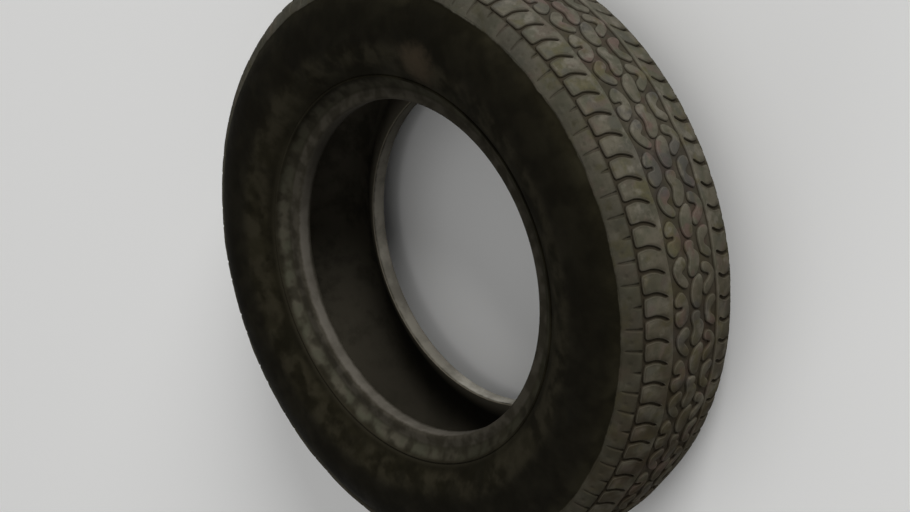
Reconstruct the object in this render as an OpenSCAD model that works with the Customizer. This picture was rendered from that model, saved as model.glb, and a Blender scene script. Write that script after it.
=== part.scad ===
// Worn car tyre, taken off its rim and lying on one side.
// Axis along +Z, origin at the middle of the ring that it lies on, millimetres.

/* [Rim fit] */
// Diameter of the rim's bead seats, here of a 15 inch rim
seat_d = 380.2; // [355:0.1:460]
// Distance between the outer faces of the two beads, which is the rim's inside width
rim_w = 139.6; // [114:0.1:170]
// Width of each bead's base, from its toe to its face
bead_w = 20; // [15:0.5:25]
// Rounding of the bead's heel, between its base and its face
heel_round = 5; // [3:0.5:7]
// Chamfer on the bead's toe
toe_cut = 1.5; // [1:0.5:2.5]
// Height of the flat face that the rim's flange presses on
face_h = 9; // [7.5:0.5:12]
// Radius of the hollow above the face, where the flange curls over
flange_round = 22; // [18:0.5:27]
// Angle that the hollow turns through, up to the fitting line
flange_turn = 57; // [45:1:70]
// Radius of the fitting line's round edge
line_round = 1.5; // [1:0.1:2]

/* [Tread] */
// Outside diameter over the middle of the tread
tyre_d = 687.2; // [570:0.1:830]
// Width of the tread between its two edges
tread_w = 135; // [112:0.5:165]
// How much lower the tread edge lies than the middle
crown_drop = 11.3; // [8:0.1:16]
// Width of the rounded shoulder, measured along the axle
shoulder_w = 15.3; // [12:0.1:20]
// How far the shoulder falls below the tread edge
shoulder_drop = 18; // [14:0.5:23]
// How far the shoulder swells out of the straight line between its edges
shoulder_swell = 1.9; // [1:0.1:4]
// Depth that is left of the grooves
groove_depth = 3; // [1.5:0.1:5]
// Width of the narrow grooves that run round the tyre
groove_w = 3.2; // [2:0.1:4.5]
// Width of the middle rib
mid_rib_w = 18.6; // [15:0.1:23]
// Width of the ribs on each side of the middle rib
inner_rib_w = 19.2; // [16:0.1:24]
// Width of the notches in the outer ribs
notch_w = 4.4; // [3:0.1:5.5]
// Width of the strip of the outer ribs that the notches leave whole
strip_w = 6.6; // [4:0.1:10]
// Repeats of the pattern round the tyre, each with three notches and two slanting cuts
repeats = 30; // [25:1:36]
// Slant of the cuts across the inner ribs
inner_slant = 30; // [20:1:40]
// Slant of the cuts across the middle rib
mid_slant = 35; // [25:1:45]

/* [Casing] */
// How far the widest part of the side stands out past the shoulder or the fitting line
bulge = 14.2; // [10:0.1:20]
// Where the side is widest, from 0 at the fitting line to 1 at the shoulder
bulge_at = 0.53; // [0.4:0.01:0.65]
// Width of the flat ring worn on the widest part, which the tyre lies on
rest_w = 8; // [5:0.5:12]
// Height of the step from the side up to the shoulder's rubber
shoulder_step = 1.2; // [0.5:0.1:2]
// Thickness of rubber and belts under the middle of the tread
crown_wall = 11; // [9:0.5:14]
// Thickness of the shoulder, square to its slope
shoulder_wall = 15; // [12:0.5:19]
// Thickness of the side at its widest
side_wall = 7; // [5.5:0.5:9]
// Thickness of the bead at the fitting line
bead_wall = 12; // [9:0.5:15]

/* [Hidden] */
$fn = 96;

// how far a cutter stands out of the surface that it cuts
clear = 1;

// radii of the main rings, and their distances y from the tyre's middle plane
seat_r = seat_d / 2;
face_r = seat_r + face_h;
face_y = rim_w / 2;
toe_y = face_y - bead_w;
line_r = face_r + flange_round * sin(flange_turn);
line_y = face_y + flange_round * (1 - cos(flange_turn));
crown_r = tyre_d / 2;
edge_r = crown_r - crown_drop;
edge_y = tread_w / 2;
shoulder_r = edge_r - shoulder_drop;
shoulder_y = edge_y + shoulder_w;
half_w = max(shoulder_y, line_y + line_round) + bulge;
bulge_r = line_r + bulge_at * (shoulder_r - line_r);

// the tread's curve across, one arc about a point on the middle plane
crown_arc = (edge_y * edge_y + crown_drop * crown_drop) / (2 * crown_drop);
crown_half = asin(edge_y / crown_arc);

// the way that the shoulder faces, and the lean of the groove at the tread's edge
shoulder_face = [shoulder_w, shoulder_drop] / norm([shoulder_w, shoulder_drop]);
edge_lean = (crown_half + atan2(shoulder_drop, shoulder_w)) / 2;

// the grooves and ribs across the tread, from the middle plane outwards
inner_groove_y = (mid_rib_w + groove_w) / 2;
inner_rib_y = inner_groove_y + (groove_w + inner_rib_w) / 2;
outer_groove_y = inner_rib_y + (inner_rib_w + groove_w) / 2;
notch_l = edge_y - outer_groove_y - groove_w / 2 - strip_w;
notch_y = edge_y - notch_l / 2;
notch_n = 3 * repeats;
cut_n = 2 * repeats;

// share of a pitch by which each half of the tread is turned from the middle
notch_shift = 1 / 4;
cut_shift = 1 / 3;

// points of an arc about a centre [r, y], from one angle to another
function arc(centre, radius, from, to, steps = 6) = [
    for (i = [0:steps])
        let (turn = from + (to - from) * i / steps)
        centre + radius * [cos(turn), sin(turn)]
];

// an arc up to a level top, which it reaches from a point that lies so far
// along and so far below, further out from the axle (way 1) or nearer to it (way -1)
function rising_arc(top, run, fall, way) =
    let (radius = (run * run + fall * fall) / (2 * fall))
    arc(top - [0, radius], radius, 90 - way * acos((radius - fall) / radius), 90);

function reversed(points) = [
    for (i = [len(points) - 1:-1:0]) points[i]
];

// a list of points on the other side of the middle plane, in the opposite order
function other_side(points) = [
    for (point = reversed(points)) [point[0], -point[1]]
];

// half of the outside, from the middle of the tread round to the bead's toe
function outer_half() =
    let (
        rest_out = [bulge_r + rest_w / 2, half_w],
        rest_in = [bulge_r - rest_w / 2, half_w],
        out_run = shoulder_r - shoulder_step - rest_out[0],
        in_run = rest_in[0] - line_r - line_round
    )
    concat(
        arc([crown_r - crown_arc, 0], crown_arc, 0, crown_half),
        [[edge_r + shoulder_r, edge_y + shoulder_y] / 2 + shoulder_swell * shoulder_face],
        [[shoulder_r, shoulder_y]],
        rising_arc(rest_out, out_run, half_w - shoulder_y, 1),
        reversed(rising_arc(rest_in, in_run, half_w - line_y, -1)),
        arc([line_r, line_y], line_round, 30, 150),
        arc([face_r, face_y + flange_round], flange_round, flange_turn - 96, -90),
        arc([seat_r + heel_round, face_y - heel_round], heel_round, 90, 180),
        [[seat_r, toe_y + toe_cut], [seat_r + toe_cut, toe_y]]
    );

// half of the inside, from the bead back to the middle of the tread
function inner_half() =
    let (
        widest = [bulge_r, half_w - side_wall],
        bead = [line_r, line_y - bead_wall],
        shoulder = [shoulder_r, shoulder_y] - shoulder_wall * shoulder_face,
        crown = crown_r - crown_wall,
        rise = crown - shoulder[0],
        radius = (shoulder[1] * shoulder[1] + rise * rise) / (2 * rise)
    )
    concat(
        rising_arc(widest, widest[0] - bead[0], widest[1] - bead[1], -1),
        reversed(rising_arc(widest, shoulder[0] - widest[0], widest[1] - shoulder[1], 1)),
        arc([crown - radius, 0], radius, asin(shoulder[1] / radius), 0)
    );

module section() {
    outside = outer_half();
    inside = inner_half();
    polygon(concat(other_side(outside), outside, inside, other_side(inside)));
}

// places its children on the tread, turned round the tyre and so far across it
module on_crown(turn, across) {
    rotate([0, 0, turn])
    translate([crown_r - crown_arc, 0, 0])
    rotate([0, -asin(across / crown_arc), 0])
    translate([crown_arc, 0, 0])
    children();
}

// a slot across the tread, cut from its surface down to the depth of the grooves
module slot(width, run) {
    translate([-groove_depth, -width / 2, -run / 2])
    cube([groove_depth + clear, width, run]);
}

// a groove round the tyre, through a point [r, y] of the section and square to its lean
module round_groove(place, lean) {
    rotate_extrude()
    translate(place)
    rotate(lean)
    translate([-groove_depth, -groove_w / 2])
    square([groove_depth + clear, groove_w]);
}

module round_grooves() {
    for (side = [-1, 1]) {
        for (across = [inner_groove_y, outer_groove_y]) {
            lean = side * asin(across / crown_arc);
            round_groove([crown_r - crown_arc + crown_arc * cos(lean), side * across], lean);
        }
        round_groove([edge_r, side * edge_y], side * edge_lean);
    }
}

module outer_notches() {
    for (side = [-1, 1]) {
        for (i = [0:notch_n - 1]) {
            on_crown((i + side * notch_shift) * 360 / notch_n, side * notch_y)
            slot(notch_w, notch_l);
        }
    }
}

module slanting_cuts() {
    for (i = [0:cut_n - 1]) {
        on_crown(i * 360 / cut_n, 0)
        rotate([mid_slant, 0, 0])
        slot(groove_w, mid_rib_w + 2 * groove_w);
        for (side = [-1, 1]) {
            on_crown((i + side * cut_shift) * 360 / cut_n, side * inner_rib_y)
            rotate([inner_slant, 0, 0])
            slot(groove_w, inner_rib_w + 2 * groove_w);
        }
    }
}

module tyre() {
    color([0.2, 0.19, 0.17])
    translate([0, 0, half_w])
    difference() {
        rotate_extrude() section();
        round_grooves();
        outer_notches();
        slanting_cuts();
    }
}

tyre();
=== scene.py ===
from bisect import bisect_right
from math import acos, asin, atan2, cos, pi, radians, sin, tau

import bmesh
import bpy
from mathutils import Matrix, Vector, noise


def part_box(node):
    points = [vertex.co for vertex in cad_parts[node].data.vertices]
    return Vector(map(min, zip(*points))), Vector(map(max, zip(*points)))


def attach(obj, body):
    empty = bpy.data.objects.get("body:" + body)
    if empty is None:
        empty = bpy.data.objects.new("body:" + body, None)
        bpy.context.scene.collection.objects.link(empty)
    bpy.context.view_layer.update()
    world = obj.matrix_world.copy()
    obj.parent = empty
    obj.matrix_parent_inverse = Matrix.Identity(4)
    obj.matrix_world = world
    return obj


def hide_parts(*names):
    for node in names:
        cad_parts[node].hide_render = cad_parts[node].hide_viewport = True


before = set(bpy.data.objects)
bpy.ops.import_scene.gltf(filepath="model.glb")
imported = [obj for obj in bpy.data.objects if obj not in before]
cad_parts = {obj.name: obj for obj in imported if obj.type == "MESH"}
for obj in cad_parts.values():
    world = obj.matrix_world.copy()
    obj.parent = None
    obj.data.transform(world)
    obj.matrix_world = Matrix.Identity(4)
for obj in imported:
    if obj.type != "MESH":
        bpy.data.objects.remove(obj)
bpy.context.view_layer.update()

# ---------------------------------------------------------------------------
# The tyre's section.
# A car tyre is moulded and cured in one piece of rubber over its cords, wires
# and belts, so everything below is one skin that closes on itself: tread,
# shoulders, sides, beads and the bare liner inside. Sizes are in millimetres.
# ---------------------------------------------------------------------------
mm = 0.001
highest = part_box("tyre")[1]
crown_r = highest.x / mm
half_w = highest.z / 2 / mm

# the bead, from its toe over the heel to the face that the rim's flange presses on
seat_r = 190.1
bead_w = 20
heel_round = 5
toe_cut = 1.5
face_h = 9
face_r, face_y = seat_r + face_h, 69.8
toe_y = face_y - bead_w

# the hollow for the rim's flange, and the fitting line above it
flange_round, flange_turn = 22, radians(57)
line_round = 1.5
line_r = face_r + flange_round * sin(flange_turn)
line_y = face_y + flange_round * (1 - cos(flange_turn))

# the tread's crown, the shoulder, and the side with the flat ring that the tyre lies on
crown_drop = 11.3
edge_r, edge_y = crown_r - crown_drop, 67.5
crown_arc = (edge_y ** 2 + crown_drop ** 2) / (2 * crown_drop)
crown_half = asin(edge_y / crown_arc)
shoulder_drop, shoulder_w = 18, 15.3
shoulder_r, shoulder_y = edge_r - shoulder_drop, edge_y + shoulder_w
shoulder_swell = 1.9
shoulder_step = 1.2
bulge_at = 0.53
bulge_r = line_r + bulge_at * (shoulder_r - line_r)
rest_w = 8

# thicknesses of the casing
crown_wall, shoulder_wall, side_wall, bead_wall = 11, 15, 7, 12


def arc(centre, radius, start, end, steps):
    """Points [r, y] of an arc, with its angles measured from the tyre's radius towards its side."""
    turns = [start + (end - start) * i / steps for i in range(steps + 1)]
    return [Vector(centre) + radius * Vector((cos(turn), sin(turn))) for turn in turns]


def arc_between(start, end, swell, steps):
    """Points of the arc that joins two points and swells out of the line between them."""
    start, end = Vector(start), Vector(end)
    half_chord = (end - start).length / 2
    radius = (half_chord ** 2 + swell ** 2) / (2 * swell)
    out = Vector(((end - start).y, -(end - start).x)).normalized()
    centre = (start + end) / 2 + (swell - radius) * out
    first = atan2(*reversed(start - centre))
    return arc(centre, radius, first, first + 2 * asin(half_chord / radius), steps)


def rising_arc(top, run, fall, way, steps):
    """An arc that comes level at its top, from further out (way 1) or further in (way -1)."""
    radius = (run ** 2 + fall ** 2) / (2 * fall)
    reach = way * acos((radius - fall) / radius)
    return arc((top[0], top[1] - radius), radius, pi / 2 - reach, pi / 2, steps)


# the outside of half the section, from the middle of the tread to the toe
rest_out = (bulge_r + rest_w / 2, half_w)
rest_in = (bulge_r - rest_w / 2, half_w)
crown = arc((crown_r - crown_arc, 0), crown_arc, 0, crown_half, steps=36)
shoulder = arc_between((edge_r, edge_y), (shoulder_r, shoulder_y), shoulder_swell, steps=12)
out_run = shoulder_r - shoulder_step - rest_out[0]
in_run = rest_in[0] - line_r - line_round
flange_centre = (face_r, face_y + flange_round)
heel_centre = (seat_r + heel_round, face_y - heel_round)
side = (
    rising_arc(rest_out, out_run, half_w - shoulder_y, 1, steps=12)
    + rising_arc(rest_in, in_run, half_w - line_y, -1, steps=12)[::-1]
    + arc((line_r, line_y), line_round, radians(30), radians(150), steps=4)
    + arc(flange_centre, flange_round, flange_turn - radians(96), -pi / 2, steps=7)
    + arc(heel_centre, heel_round, pi / 2, pi, steps=6)
    + [Vector((seat_r, toe_y + toe_cut)), Vector((seat_r + toe_cut, toe_y))]
)

# the inside, from the bead back to the middle of the tread
down = Vector((shoulder_w, shoulder_drop)).normalized() * shoulder_wall
widest = (bulge_r, half_w - side_wall)
bead_in = (line_r, line_y - bead_wall)
shoulder_in = (shoulder_r - down.x, shoulder_y - down.y)
rise = crown_r - crown_wall - shoulder_in[0]
liner_round = (shoulder_in[1] ** 2 + rise ** 2) / (2 * rise)
liner_centre = (crown_r - crown_wall - liner_round, 0)
liner_turn = asin(shoulder_in[1] / liner_round)
liner = (
    rising_arc(widest, widest[0] - bead_in[0], widest[1] - bead_in[1], -1, steps=5)
    + rising_arc(widest, shoulder_in[0] - widest[0], widest[1] - shoulder_in[1], 1, steps=6)[-2::-1]
    + arc(liner_centre, liner_round, liner_turn, 0, steps=5)[1:]
)
outline = crown + shoulder[1:] + side + liner

# how far each point lies along the outline from the middle of the tread, and the way it faces
along = [0.0]
for before, after in zip(outline, outline[1:]):
    along.append(along[-1] + (after - before).length)
facing = []
for i in range(len(outline)):
    way = outline[min(i + 1, len(outline) - 1)] - outline[max(i - 1, 0)]
    facing.append(Vector((way.y, -way.x)).normalized())
side_i = len(crown) + len(shoulder) - 2
shoulder_s = along[side_i]

# ---------------------------------------------------------------------------
# The tread's pattern.
# The mould's thirty equal segments press grooves, notched outer ribs and hooked
# blocks into the rubber, and years of wear have left them shallow and round.
# One segment is drawn flat, with s across the tread and t round the tyre.
# ---------------------------------------------------------------------------
repeats = 30
repeat_l = 72
groove_depth = 3

# the place round the tyre, from its +X axis, where the first segment's drawing starts
first_turn = radians(282.33)

# the worn walls: each step in and up, and how far the foot stands out of the drawn outline
wall_steps = [(0.45, 1.5), (0.6, 0.9), (0.85, 0.6)]
foot = 1.15

# places across the tread of the ribs' and the shoulder's edges, and the strip's sway
rib_in_s, rib_out_s, shoulder_in_s = 34.9, 69.2, 71.5
strip_sway = 0.8

# places round the tyre: segment's end, first notch and cut, and the far half's turn
seam_t = -3
notch_pitch, notch_t, notches = 24, 7.5, 3
cut_t = 17.5
half_turn_t = 48

# dimples in the shoulder, with each step in and down
dimple_s, dimple_w, dimple_sides = 84, 6.6, 8
dimple_steps = [(0.8, 0.8), (1.1, 0.7)]

# one side of a notch after the other, then the half widths of the shoulder's cuts
notch = [
    (69.2, -4.6), (67.0, -2.9), (62.0, -2.8), (57.0, -3.0), (50.5, -1.2), (45.0, 1.6), (41.2, 4.2),
    (40.6, 6.4), (42.8, 7.4), (46.2, 6.2), (50.5, 3.6), (57.0, 1.6), (62.0, 1.8), (67.0, 2.6), (69.2, 4.8),
]
cut = [(shoulder_in_s, 1.4), (73.5, 1.2), (76.0, 1.0)]
long_cut = [(83, 0.8), (88.6, 0.5), (89.6, 0)]
short_cut = [(79.2, 0.6), (80.2, 0)]

# the raised blocks of the middle, and the line between them where two segments meet
blocks = [
    [
        (19.5, 3), (15, 4.5), (13, 9), (14.5, 13.5), (19.5, 17), (20, 19.5), (17, 22.5), (14, 26.5),
        (12.3, 31), (14.5, 34), (19, 33), (25.5, 27.5), (29.3, 20), (29.8, 12.5), (26, 7),
    ],
    [
        (29.5, 41), (26, 37.8), (22, 38), (18.2, 43), (15.4, 50), (14.2, 57), (15.3, 63), (17.5, 67.5),
        (21.5, 70.8), (26.5, 73), (30.5, 70), (32.3, 66), (32.2, 60.5), (30, 57.5), (23.5, 56.8),
        (21.8, 54.3), (23.5, 52), (30, 51.6), (31.6, 48), (31.3, 44),
    ],
    [
        (-6, 25.5), (-9, 28.5), (-10, 33), (-8.8, 40), (-6.6, 48), (-5.2, 55), (-1, 58.3), (4, 57),
        (7.6, 51.5), (8.6, 44), (7.5, 37), (3.8, 30.5), (0, 27.3),
    ],
    [
        (7, -10.2), (2, -10.8), (-2.5, -9), (-3.6, -5), (-2.5, -1.5), (-6.5, 2), (-9.3, 7), (-8, 13.5),
        (-4.5, 20), (0, 24.5), (5, 25.6), (8.3, 22.5), (8.6, 16), (6.2, 10), (6.4, 4.5), (8.6, -1),
        (9.2, -6),
    ],
    [
        (-15, -17), (-20, -19.8), (-27, -20.2), (-31.3, -17.5), (-31, -13), (-26.5, -10), (-22, -7),
        (-20.8, -3.5), (-23.5, 0), (-28.5, 3.5), (-31, 8.5), (-27, 12), (-20, 8.5), (-15, 5),
        (-14.2, 1.5), (-12.9, -4), (-13.2, -11),
    ],
    [
        (-12.6, 16), (-17, 15.3), (-23, 18), (-29, 23.5), (-32.3, 29.5), (-31, 36), (-26.5, 41.5),
        (-20.5, 45.6), (-14.8, 48.3), (-11.6, 46), (-11.4, 40.5), (-14.5, 36.5), (-20, 34),
        (-23, 30.8), (-20.5, 27.3), (-15, 25.2), (-11.8, 22),
    ],
]
seam = [
    (33.8, 4), (27, 4), (20.5, 0.8), (13, -1.5), (11, -5), (10.6, -11), (8.5, -12.3), (0, -12.3),
    (-10.8, -12.8), (-11.2, -19), (-14.5, -20.6), (-20, -23.2), (-27, -25.2), (-33.5, -25),
]


def wall_foot(points, steps, period=None):
    """The foot of the wall round a smooth curve through points, closed or one period of an endless one."""
    points = [Vector(point) for point in points]
    if not period and sum(a.cross(b) for a, b in zip(points, points[1:] + points[:1])) < 0:
        points.reverse()
    count = len(points)

    def control(i):
        return points[i % count] + Vector((0, (i // count) * (period or 0)))

    curve = []
    for i in range(count):
        a, b, c, d = (control(i + k) for k in (-1, 0, 1, 2))
        bend, twist = 2 * a - 5 * b + 4 * c - d, 3 * (b - c) + d - a
        for step in range(steps):
            u = step / steps
            way = c - a + u * (2 * bend + 3 * u * twist)
            out = Vector((way.y, -way.x)).normalized()
            curve.append(b + u / 2 * (c - a + u * (bend + u * twist)) + foot * out)
    if period:
        curve.append(curve[0] + Vector((0, period)))
    return curve


def on_half(points, far):
    """The points, or for the far half of the tread the same ones turned half round."""
    return [(-s, half_turn_t - t) for s, t in points] if far else points


sheet = bmesh.new()


def drawn(points):
    """The vertices of a line on the flat drawing, at the depth of the grooves."""
    return [sheet.verts.new((point[0], point[1], -groove_depth)) for point in points]


def filled(*loops):
    """The faces of the area inside the first loop of vertices and outside the others."""
    edges = []
    for loop in loops:
        for a, b in zip(loop, loop[1:] + loop[:1]):
            edges.append(sheet.edges.get((a, b)) or sheet.edges.new((a, b)))
    made = bmesh.ops.triangle_fill(sheet, use_beauty=True, edges=edges, normal=(0, 0, 1))
    return [part for part in made["geom"] if isinstance(part, bmesh.types.BMFace)]


side_edge = [(shoulder_s, seam_t), (shoulder_s, seam_t + repeat_l)]
rib_edge = [(rib_out_s, seam_t)]
shoulder_edge = [(shoulder_in_s, seam_t)]
dimples = []
for k in range(notches):
    rib_edge += [(s, notch_t + k * notch_pitch + t) for s, t in notch]
    half_cut = cut + (short_cut if k == 1 else long_cut)
    whole_cut = [(s, -t) for s, t in half_cut] + [(s, t) for s, t in half_cut[-2::-1]]
    shoulder_edge += [(s, cut_t + k * notch_pitch + t) for s, t in whole_cut]
    dimples.append(Vector((dimple_s, notch_t + k * notch_pitch)))
shoulder_edge.append((shoulder_in_s, seam_t + repeat_l))
strip_edge = [
    (rib_in_s + strip_sway * cos(tau * t / repeat_l), seam_t + t) for t in range(0, repeat_l + 1, 6)
]
dimple_turns = [tau * i / dimple_sides for i in range(dimple_sides)]
dimple_edge = [dimple_w / 2 * Vector((cos(turn), sin(turn))) for turn in dimple_turns]

raised = []
strips = []
dents = []
for far in (False, True):
    half_edges = (side_edge, shoulder_edge, wall_foot(rib_edge, 2, repeat_l), strip_edge)
    side_line, shoulder_line, rib_line, strip_line = [drawn(on_half(line, far)) for line in half_edges]
    holes = [drawn(on_half([dimple + corner for corner in dimple_edge], far)) for dimple in dimples]
    raised += filled(side_line + shoulder_line[::-1], *holes)
    for hole in holes:
        dents += filled(hole)
    filled(shoulder_line + rib_line[::-1])
    raised += filled(rib_line + strip_line[::-1])
    strips.append(strip_line)

islands = [drawn(wall_foot(block, 2)) for block in blocks]
seams = [drawn([(s, t + start) for s, t in seam]) for start in (0, repeat_l)]
near_strip, far_strip = strips
filled(near_strip + seams[1] + far_strip + seams[0][::-1], *islands)
for island in islands:
    raised += filled(island)

for thickness, lift in wall_steps:
    bmesh.ops.inset_region(
        sheet, faces=raised + dents, thickness=thickness, use_even_offset=True, use_boundary=False
    )
    tops = {vertex for face in raised + dents for vertex in face.verts}
    bmesh.ops.translate(sheet, verts=list(tops), vec=(0, 0, lift))
for thickness, drop in dimple_steps:
    bmesh.ops.inset_region(sheet, faces=dents, thickness=thickness, use_even_offset=True)
    bottoms = {vertex for face in dents for vertex in face.verts}
    bmesh.ops.translate(sheet, verts=list(bottoms), vec=(0, 0, -drop))

# the insets have drawn the ends of the ribs in, so they go back to the seam
for vertex in sheet.verts:
    s, t = vertex.co.xy
    if vertex.is_boundary and rib_in_s < abs(s) < shoulder_s - 1:
        first = seam_t if s > 0 else half_turn_t - seam_t
        vertex.co.y = first + repeat_l * round((t - first) / repeat_l)

# what the rubber's material reads: how deep in a groove a point lies, and how far across
across_layer = sheet.verts.layers.float.new("across")
groove_layer = sheet.verts.layers.float.new("groove")
for vertex in sheet.verts:
    vertex[groove_layer] = -vertex.co.z / groove_depth

# driving has worn the blocks of the outer ribs lower behind the inner end of each notch
touching = 0.01
heel_wear = 0.9
worn_in_s, worn_out_s, worn_fade = 38, 60, 12
worn_start_t, worn_end_t = 2, 12
for vertex in sheet.verts:
    s, t, height = vertex.co
    behind = ((t if s > 0 else half_turn_t - t) - notch_t) % notch_pitch
    in_patch = worn_in_s < abs(s) < worn_out_s and worn_start_t < behind < worn_end_t
    if in_patch and height > -touching:
        vertex.co.z -= heel_wear * min((worn_out_s - abs(s)) / worn_fade, 1)

# lines across and along, so that the drawing can bend round the tyre
bend_l = 18
bend_places = (53, 77.5, 83, 88)
snap = 0.05
bends = [((0, seam_t + bend_l * k, 0), (0, 1, 0)) for k in range(-1, 5)]
bends += [((way * s, 0, 0), (1, 0, 0)) for s in bend_places for way in (-1, 1)]
for point, square_to in bends:
    bmesh.ops.bisect_plane(
        sheet, geom=sheet.verts[:] + sheet.edges[:] + sheet.faces[:], dist=snap,
        plane_co=point, plane_no=square_to,
    )

# ---------------------------------------------------------------------------
# The sides, the beads and the liner.
# Plain rubber runs on from the shoulders down to the beads, whose wires are
# cured inside it, and the liner closes the casing. The drawing's two edges are
# drawn out along the section, then it is bent, spun round and welded.
# ---------------------------------------------------------------------------
for way in (-1, 1):
    border = [
        edge for edge in sheet.edges
        if edge.is_boundary
        and all(abs(vertex.co.x - way * shoulder_s) < touching for vertex in edge.verts)
    ]
    for start_s, end_s in zip(along[side_i:], along[side_i + 1:]):
        made = bmesh.ops.extrude_edge_only(sheet, edges=border)["geom"]
        moved = [part for part in made if isinstance(part, bmesh.types.BMVert)]
        bmesh.ops.translate(sheet, verts=moved, vec=(way * (end_s - start_s), 0, 0))
        border = [
            part for part in made
            if isinstance(part, bmesh.types.BMEdge) and set(part.verts) <= set(moved)
        ]


def bent(vertex):
    """The place on the tyre of a vertex [s, t, height] of the flat drawing."""
    s, t, height = vertex.co
    i = min(bisect_right(along, abs(s)), len(along) - 1)
    share = (abs(s) - along[i - 1]) / (along[i] - along[i - 1])
    radius, y = outline[i - 1].lerp(outline[i], share) + height * facing[i - 1].lerp(facing[i], share)
    turn = first_turn - t / repeat_l * tau / repeats
    side_y = y if s > 0 else -y
    return Vector((radius * cos(turn), radius * sin(turn), half_w + side_y)) * mm


# the cuts and dimples of the shoulder are shallower than the grooves of the tread
shoulder_cut_depth = 1.1
shallow_s, shallow_fade = 73, 5
for vertex in sheet.verts:
    s = abs(vertex.co.x)
    vertex[across_layer] = s * mm
    if s < shoulder_s:
        shallower = min(max((s - shallow_s) / shallow_fade, 0), 1)
        vertex.co.z *= 1 - (1 - shoulder_cut_depth / groove_depth) * shallower
    vertex.co = bent(vertex)

weld = 0.06
bmesh.ops.spin(
    sheet, geom=sheet.verts[:] + sheet.edges[:] + sheet.faces[:], axis=(0, 0, 1), cent=(0, 0, 0),
    angle=-tau * (repeats - 1) / repeats, steps=repeats - 1, use_duplicate=True,
)
bmesh.ops.remove_doubles(sheet, verts=sheet.verts[:], dist=weld * mm)
bmesh.ops.recalc_face_normals(sheet, faces=sheet.faces[:])

# the road has left the tread and shoulders slightly uneven, in small dents and long waves
uneven_s = 100
dent_h, dent_l = 0.35, 14
wave_h, wave_l = 0.5, 50
noise.seed_set(5)
for vertex in sheet.verts:
    if vertex[across_layer] < uneven_s * mm:
        spot = vertex.co / mm
        uneven = dent_h * noise.noise_vector(spot / dent_l) + wave_h * noise.noise_vector(spot / wave_l)
        vertex.co += uneven * mm

sharp = radians(45)
for face in sheet.faces:
    face.smooth = True
for edge in sheet.edges:
    edge.smooth = edge.calc_face_angle(0) < sharp

mesh = bpy.data.meshes.new("tyre_skin")
sheet.to_mesh(mesh)
sheet.free()
tyre = bpy.data.objects.new("worn_tyre", mesh)
bpy.context.collection.objects.link(tyre)

# ---------------------------------------------------------------------------
# The rubber.
# Carbon-black rubber, bare and dull. Road dirt has dried on the tread and in the
# grooves, dust lies in the rim flange's hollow, and the rim has rubbed the bead
# seats pale. "across" is the way from the middle of the tread round to the liner.
# ---------------------------------------------------------------------------
rubber = bpy.data.materials.new("worn_rubber")
rubber.use_nodes = True
shader = rubber.node_tree.nodes["Principled BSDF"]
links = rubber.node_tree.links


class Value:
    """A node's output, which Python's operators can reckon with."""

    def __init__(self, output):
        self.output = output

    @staticmethod
    def node(kind, settings, inputs, output=0):
        """Adds a node with its settings, then its inputs by name or number, as values or links."""
        made = rubber.node_tree.nodes.new(kind)
        for name, setting in settings.items():
            setattr(made, name, setting)
        for name, value in inputs.items():
            if isinstance(value, Value):
                links.new(value.output, made.inputs[name])
            else:
                made.inputs[name].default_value = value
        return Value(made.outputs[output])

    @staticmethod
    def math(operation, *values):
        return Value.node("ShaderNodeMath", {"operation": operation}, dict(enumerate(values)))

    def __add__(self, other):
        return Value.math("ADD", self, other)

    def __sub__(self, other):
        return Value.math("SUBTRACT", self, other)

    def __rsub__(self, other):
        return Value.math("SUBTRACT", other, self)

    def __mul__(self, other):
        return Value.math("MULTIPLY", self, other)

    def __truediv__(self, other):
        return Value.math("DIVIDE", self, other)

    def __rtruediv__(self, other):
        return Value.math("DIVIDE", other, self)

    def __pow__(self, other):
        return Value.math("POWER", self, other)

    def __rpow__(self, other):
        return Value.math("POWER", other, self)

    __radd__ = __add__
    __rmul__ = __mul__

    def rising(self, start, end):
        """0 up to one value, 1 from the other on, and smooth between them."""
        return Value.node(
            "ShaderNodeMapRange", {"interpolation_type": "SMOOTHSTEP"}, {0: self, 1: start, 2: end}
        )

    def between(self, start, end, soft):
        """1 from one value to the other, with soft edges."""
        return self.rising(start - soft, start + soft) * (1 - self.rising(end - soft, end + soft))

    @staticmethod
    def mix(first, second, share):
        """One colour turning into another as the share goes from 0 to 1."""
        return Value.node("ShaderNodeMix", {"data_type": "RGBA"}, {0: share, 6: first, 7: second}, 2)

    def painted(self, colour, mask):
        """This colour with another one over it."""
        return Value.mix(self, colour, mask)


def rgb(red, green, blue):
    return (red, green, blue, 1)


# all places are in millimetres: x, y and z on the tyre, and across its skin, where the shoulder
# ends at 93, the side is widest at 141, the fitting line is at 197, the flange's hollow goes to
# 217, the bead's face to 225 and its heel to 233, and the toe is at 247
position = Value.node("ShaderNodeTexCoord", {}, {}, "Object")
x, y, z = (Value.node("ShaderNodeSeparateXYZ", {}, {"Vector": position}, axis) / mm for axis in "XYZ")
across = Value.node("ShaderNodeAttribute", {"attribute_name": "across"}, {}, "Fac") / mm
groove = Value.node("ShaderNodeAttribute", {"attribute_name": "groove"}, {}, "Fac")

# the half that the tyre lies on, and the way to the side toward the lamp, which is painted lighter
# in the rim's hollow, the fitting line and the bead's face and seats, as painted light and dust
lower = 1 - z.rising(60, 90)
toward_lit_side = 0.94 * y - 0.342 * x


def cloud(size, detail=4, roughness=0.6):
    """Noise about 0.5 with blots of a size in millimetres."""
    inputs = {"Vector": position, "Scale": 1 / (size * mm), "Detail": detail, "Roughness": roughness}
    return Value.node("ShaderNodeTexNoise", {}, inputs)


blots = cloud(70)
patches = cloud(34)
spots = cloud(11, 5, 0.65)
specks = cloud(2.6, 3, 0.7)
grain = cloud(0.9, 2, 0.6)
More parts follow.
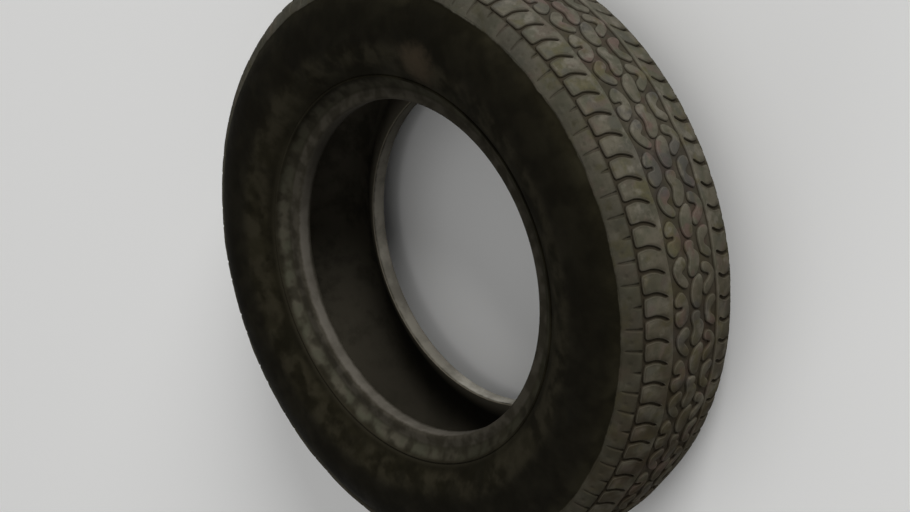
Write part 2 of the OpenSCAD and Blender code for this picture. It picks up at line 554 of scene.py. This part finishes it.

# tread: dried dirt in beige, olive, pinkish and blue-grey patches, and darker brown towards -X, as mud and
# as painted shade
beige = rgb(0.087, 0.079, 0.059)
olive = rgb(0.062, 0.060, 0.043)
pinkish = rgb(0.088, 0.061, 0.051)
yellow_green = rgb(0.070, 0.063, 0.031)
blue_grey = rgb(0.045, 0.044, 0.044)
pale_clay = rgb(0.124, 0.113, 0.090)
grey_dust = rgb(0.094, 0.091, 0.081)
brown_mud_and_shade = rgb(0.027, 0.0195, 0.010)
dark_spot = rgb(0.034, 0.031, 0.022)
dark_speck = rgb(0.030, 0.028, 0.020)
shoulder_dirt = rgb(0.028, 0.026, 0.018)
motley = 1 - 0.55 * across.rising(30, 40)
# darker brown towards -X: brown mud in blots, and painted shade where the light falls off
mud_and_shade_share = (1 - x.rising(-290, 110)) * (0.35 + 0.5 * cloud(28, 2).rising(0.36, 0.64))
on_shoulder = across.rising(70, 73)
tread = Value.mix(beige, olive, cloud(26, 3).rising(0.4, 0.6))
tread = tread.painted(pinkish, motley * cloud(31, 2).rising(0.53, 0.64) * 0.85)
tread = tread.painted(yellow_green, cloud(22, 2).rising(0.53, 0.66) * 0.65)
tread = tread.painted(blue_grey, motley * cloud(36, 2).rising(0.53, 0.66) * 0.6)
tread = tread.painted(pale_clay, cloud(17, 3).rising(0.53, 0.70) * 0.7)
tread = tread.painted(grey_dust, x.rising(90, 310) * 0.25)
tread = tread.painted(brown_mud_and_shade, mud_and_shade_share)
tread = tread.painted(dark_spot, spots.rising(0.5, 0.75) * 0.45)
tread = tread.painted(dark_speck, specks.rising(0.52, 0.75) * 0.4)
tread = tread.painted(shoulder_dirt, on_shoulder * (0.3 + 0.4 * patches.rising(0.35, 0.65)))

# dirt and painted shade lie darkest at the foot of the walls, and in a soft edge next to the outer
# groove and the notches, whose middle lines hook away towards their inner ends
notch_dirt_and_shade = rgb(0.025, 0.021, 0.0135)
rubbed_edge_highlight = rgb(0.125, 0.114, 0.09)
groove_mud_and_shade = rgb(0.021, 0.016, 0.010)
hook_s, hook_bend = 55, 0.027
round_t = (first_turn - Value.math("ARCTAN2", y, x)) * (repeats * repeat_l / tau)
upper = Value.math("SIGN", z - half_w)
own_t = upper * round_t + (1 - upper) * (half_turn_t / 2)
hook = Value.math("MAXIMUM", hook_s - across, 0.0) ** 2 * hook_bend
from_notch = Value.math("WRAP", own_t - notch_t - hook, notch_pitch / 2, -notch_pitch / 2)
from_notch = Value.math("ABSOLUTE", from_notch) + (spots - 0.5) * 3
dirt_and_shade_beside = (1 - from_notch.rising(1.2, 5.5)) * across.between(40, 70, 1.5)
dirt_and_shade_beside = dirt_and_shade_beside + across.between(67.5, 73, 1.5) * (1 - dirt_and_shade_beside)
walls = groove.rising(0.25, 0.85) * (1 - 0.3 * groove.rising(0.9, 1))
# painted shade, with dirt, in a soft band next to the notches and the outer groove
tread = tread.painted(notch_dirt_and_shade, dirt_and_shade_beside * 0.6)
# the top edge of each wall is painted paler: rubbed wear and a painted highlight
tread = tread.painted(rubbed_edge_highlight, groove.between(0.03, 0.13, 0.03) * (1 - on_shoulder) * 0.35)
# painted shade down the walls of the grooves, and mud on their floors
tread = tread.painted(groove_mud_and_shade, walls * (0.85 - 0.4 * on_shoulder))

# sides: nearly clean black, with olive dirt in a ring next to the rim and soft clouds elsewhere
side_black = rgb(0.0068, 0.0058, 0.0029)
side_worn = rgb(0.0115, 0.0098, 0.0048)
side_dirt = rgb(0.0185, 0.0162, 0.0090)
rim_dirt = rgb(0.0225, 0.0195, 0.0118)
side_clean = rgb(0.005, 0.0043, 0.0021)
deep_black = rgb(0.004, 0.0034, 0.002)
line_dust_and_light = rgb(0.024, 0.021, 0.0135)
stain_brown = rgb(0.044, 0.033, 0.0205)
stain_place = (0.1995, -0.1423, 0.19)
near_rim = (across + (spots - 0.5) * 9 + (patches - 0.5) * 14).between(150, 186, 9)
stain = Value.node(
    "ShaderNodeVectorMath", {"operation": "DISTANCE"}, {0: position, 1: stain_place}, "Value"
)
stain = (stain / mm + (spots - 0.5) * 26).rising(34, 6)
side_colour = Value.mix(side_black, side_worn, patches.rising(0.35, 0.7))
side_colour = side_colour.painted(side_dirt, cloud(42, 2, 0.5).rising(0.5, 0.66) * 0.6)
side_colour = side_colour.painted(rim_dirt, near_rim * cloud(24, 3, 0.5).rising(0.4, 0.62) * 0.8)
side_colour = side_colour.painted(side_clean, blots.rising(0.5, 0.66) * 0.7)
side_colour = side_colour.painted(deep_black, across.between(106, 156, 8) * (0.4 + 0.3 * spots))
side_colour = side_colour.painted(deep_black, across.between(186, 194, 2) * 0.15)
# dust on the fitting line, painted only toward the lamp, so it is partly painted light
fitting_line_lit_dust = across.between(192, 202, 3) * toward_lit_side.rising(-100, 200)
side_colour = side_colour.painted(line_dust_and_light, fitting_line_lit_dust * 0.55)
side_colour = side_colour.painted(stain_brown, stain * 0.75)
side_from = across + (patches - 0.5) * 5 + (spots - 0.5) * 2
skin = tread.painted(side_colour, side_from.rising(93.4, 95.2))

# rim flange's hollow and bead's face, with dust, and painted light that fades away from the side toward
# the lamp
dust_beige = rgb(0.066, 0.060, 0.044)
dust_olive = rgb(0.054, 0.053, 0.037)
face_dark = rgb(0.025, 0.022, 0.0155)
face_dusty = rgb(0.045, 0.040, 0.0305)
dusty = cloud(17, 2, 0.5)
flange_dust_and_light = Value.mix(dust_beige, dust_olive, patches.rising(0.45, 0.6))
hollow = (across + (dusty - 0.5) * 8).between(203, 218, 5) * (0.35 + 0.65 * dusty.rising(0.34, 0.62))
# dust in the hollow, painted lighter toward the lamp as painted light
skin = skin.painted(flange_dust_and_light, hollow * (0.35 + 0.6 * toward_lit_side.rising(20, 230)))
face_colour = Value.mix(face_dark, face_dusty, dusty.rising(0.38, 0.62))
# the bead's face is painted a little lighter toward the lamp, as painted light
on_face = across.between(217.5, 232, 2) * (0.8 + 0.15 * toward_lit_side.rising(0, 200))
skin = skin.painted(face_colour, on_face)

# bead seats, rubbed pale by the rim and palest on the lower one, and painted lighter toward the lamp;
# the lower seat's near-white is partly painted light
seat_brown = rgb(0.034, 0.030, 0.022)
upper_seat = rgb(0.097, 0.088, 0.073)
seat_white = rgb(0.50, 0.475, 0.41)
seat_beige = rgb(0.24, 0.224, 0.186)
seat_grey = rgb(0.32, 0.298, 0.248)
rubbed = (across + (spots - 0.5) * 4).between(230, 247, 1.6)
# the pale band: rubbing, and painted light that makes it wider and whiter on the lower seat and lighter
# toward the lamp
seat_rubbed_and_lit = (across + (spots - 0.5) * 5).between(231.5 - 5.5 * lower, 244 + 3 * lower, 2.2)
seat_rubbed_and_lit = seat_rubbed_and_lit * (0.25 + 0.75 * toward_lit_side.rising(20, 150)) * (0.6 + 0.4 * patches.rising(0.35, 0.6))
lower_seat_lit = Value.mix(seat_white, seat_beige, x.rising(-165, -115))
lower_seat_lit = lower_seat_lit.painted(seat_grey, x.rising(-20, 50))
skin = skin.painted(seat_brown, rubbed)
skin = skin.painted(Value.mix(upper_seat, lower_seat_lit, lower), seat_rubbed_and_lit)

# liner, paler towards +X, and painted lighter next to the lower seat, as dust and as painted light
# in the shade under the casing
liner_dark = rgb(0.034, 0.030, 0.022)
liner_pale = rgb(0.130, 0.116, 0.086)
liner_black = rgb(0.022, 0.020, 0.014)
liner_dust_and_light = rgb(0.20, 0.178, 0.135)
liner_colour = Value.mix(liner_dark, liner_pale, x.rising(-160, 240))
liner_colour = liner_colour.painted(liner_black, patches.rising(0.42, 0.66) * 0.5)
# lighter next to the lower seat: dust, and painted light where the casing shades the liner
liner_colour = liner_colour.painted(liner_dust_and_light, (1 - across.rising(250, 292)) * lower * 0.8)
skin = skin.painted(liner_colour, across.rising(247.2, 248.6))
links.new(skin.output, shader.inputs["Base Color"])

# dull all over, with a faint shine in patches on the sides, and a fine-grained surface
on_side = across.rising(94, 98) * (1 - across.rising(195, 205))
roughness = 0.95 - 0.15 * on_side * patches.rising(0.35, 0.7)
links.new(roughness.output, shader.inputs["Roughness"])
shader.inputs["Specular IOR Level"].default_value = 0.05
relief = 0.35 * specks + 0.2 * grain + 0.6 * spots
bumps = Value.node("ShaderNodeBump", {}, {"Strength": 0.5, "Distance": 0.6 * mm, "Height": relief})
links.new(bumps.output, shader.inputs["Normal"])
mesh.materials.append(rubber)

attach(tyre, "root")
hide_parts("tyre")

# ---------------------------------------------------------------------------
# The floor.
# A wide sheet of pale matt paper, which isn't part of the object. The tyre lies
# on it on the flat ring of its lower side.
# ---------------------------------------------------------------------------
floor_half_l = 8
floor_colour = rgb(0.85, 0.85, 0.84)
floor_roughness = 0.9
ground = bmesh.new()
bmesh.ops.create_grid(ground, x_segments=2, y_segments=2, size=floor_half_l)
ground_mesh = bpy.data.meshes.new("studio_floor")
ground.to_mesh(ground_mesh)
ground.free()
studio_floor = bpy.data.objects.new("studio_floor", ground_mesh)
bpy.context.collection.objects.link(studio_floor)
paper = bpy.data.materials.new("pale_floor")
paper.use_nodes = True
paper_shader = paper.node_tree.nodes["Principled BSDF"]
paper_shader.inputs["Base Color"].default_value = floor_colour
paper_shader.inputs["Roughness"].default_value = floor_roughness
ground_mesh.materials.append(paper)

# ---------------------------------------------------------------------------
# The studio.
# Three round lamps give a plain soft light: a large one beside the tread, a
# weaker one behind the tyre and a small one overhead, under a plain white sky.
# The camera is turned on its side, so that the lying tyre seems to stand.
# ---------------------------------------------------------------------------
middle = Vector((0, 0, highest.z / 2))


def lamp(name, toward, distance, size, power):
    """A round lamp that stands off in one direction from the tyre's middle and shines at it."""
    light = bpy.data.lights.new(name, "AREA")
    light.shape = "DISK"
    light.size = size
    light.energy = power
    holder = bpy.data.objects.new(name, light)
    bpy.context.collection.objects.link(holder)
    toward = Vector(toward).normalized()
    holder.location = middle + toward * distance
    holder.rotation_euler = toward.to_track_quat("Z", "Y").to_euler()


lamp("key", toward=(0.55, -0.8, 0.32), distance=20, size=10, power=3890)
lamp("fill", toward=(-0.6, 0.8, 0.25), distance=20, size=12, power=750)
lamp("overhead", toward=(0.1, 0.1, 1), distance=5, size=4, power=28)

sky_strength = 0.32
sky = bpy.data.worlds.new("studio")
bpy.context.scene.world = sky
sky.use_nodes = True
sky.node_tree.nodes["Background"].inputs["Color"].default_value = rgb(1, 1, 1)
sky.node_tree.nodes["Background"].inputs["Strength"].default_value = sky_strength

camera_right = Vector((-0.3165, -0.6316, -0.7078))
camera_up = Vector((0.9486, -0.2107, -0.2361))
camera_back = Vector((0, -0.7461, 0.6658))
camera_distance, camera_drop = 2.0249, 0.00064
camera = bpy.data.cameras.new("camera")
camera.lens = 71.2
camera.sensor_width = 36
camera_holder = bpy.data.objects.new("camera", camera)
bpy.context.collection.objects.link(camera_holder)
camera_place = middle + camera_distance * camera_back - camera_drop * camera_up
camera_turn = Matrix((camera_right, camera_up, camera_back)).transposed()
camera_holder.matrix_world = Matrix.Translation(camera_place) @ camera_turn.to_4x4()
bpy.context.scene.camera = camera_holder
bpy.context.scene.view_settings.view_transform = "Standard"
